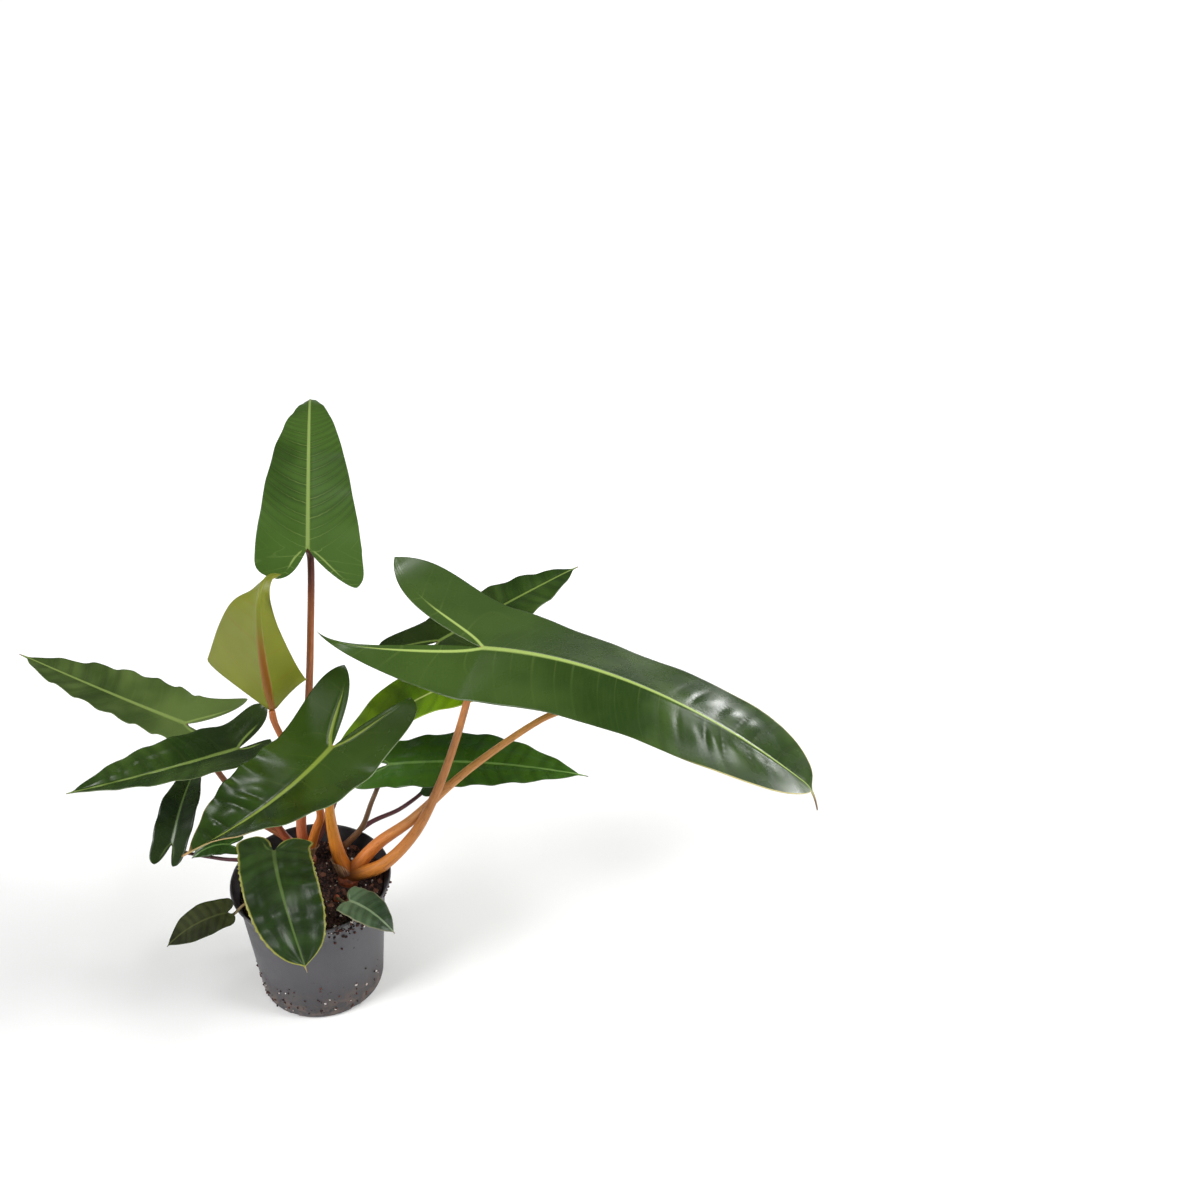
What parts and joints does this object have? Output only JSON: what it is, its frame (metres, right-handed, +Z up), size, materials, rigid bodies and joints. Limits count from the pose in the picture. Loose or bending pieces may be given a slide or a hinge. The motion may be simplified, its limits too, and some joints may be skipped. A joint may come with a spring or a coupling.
{
  "type": "potted philodendron",
  "caption": "Leafy house plant with long arrow-shaped blades on orange stalks, rising in a spreading clump from soil in a round plastic nursery pot.",
  "frame": {"origin": "middle of the pot's underside, on the surface that the pot stands on", "axes": "+Z up, -Y is the front of the plant, +X to the right seen from the front"},
  "size_m": [0.608, 0.2913, 0.4282],
  "materials": {
    "pot_plastic": "matt",
    "potting_soil": "rough",
    "stalk_orange": "satin",
    "stalk_brown": "satin",
    "leaf_green": "satin gloss",
    "leaf_dark": "satin gloss",
    "leaf_blue": "satin",
    "leaf_lime": "satin gloss",
    "leaf_olive": "satin"
  },
  "bodies": {
    "root": {"pot": "pot_plastic", "soil": "potting_soil", "shoot_main": "stalk_orange", "shoot_rear": "stalk_orange", "shoot_far": "stalk_brown", "shoot_left": "stalk_brown", "sprig_front": "stalk_brown", "sprig_right": "stalk_brown", "blade_tall": "leaf_green", "blade_new": "leaf_olive", "blade_left_high": "leaf_green", "blade_front": "leaf_green", "blade_left_low": "leaf_green", "blade_hanging": "leaf_dark", "blade_over_rim": "leaf_green", "blade_small_left": "leaf_dark", "blade_small_right": "leaf_blue", "blade_long": "leaf_green", "blade_lime": "leaf_lime", "blade_right_dark": "leaf_dark", "blade_behind": "leaf_green", "blade_little": "leaf_dark", "blade_hidden": "leaf_dark"}
  },
  "joints": []
}
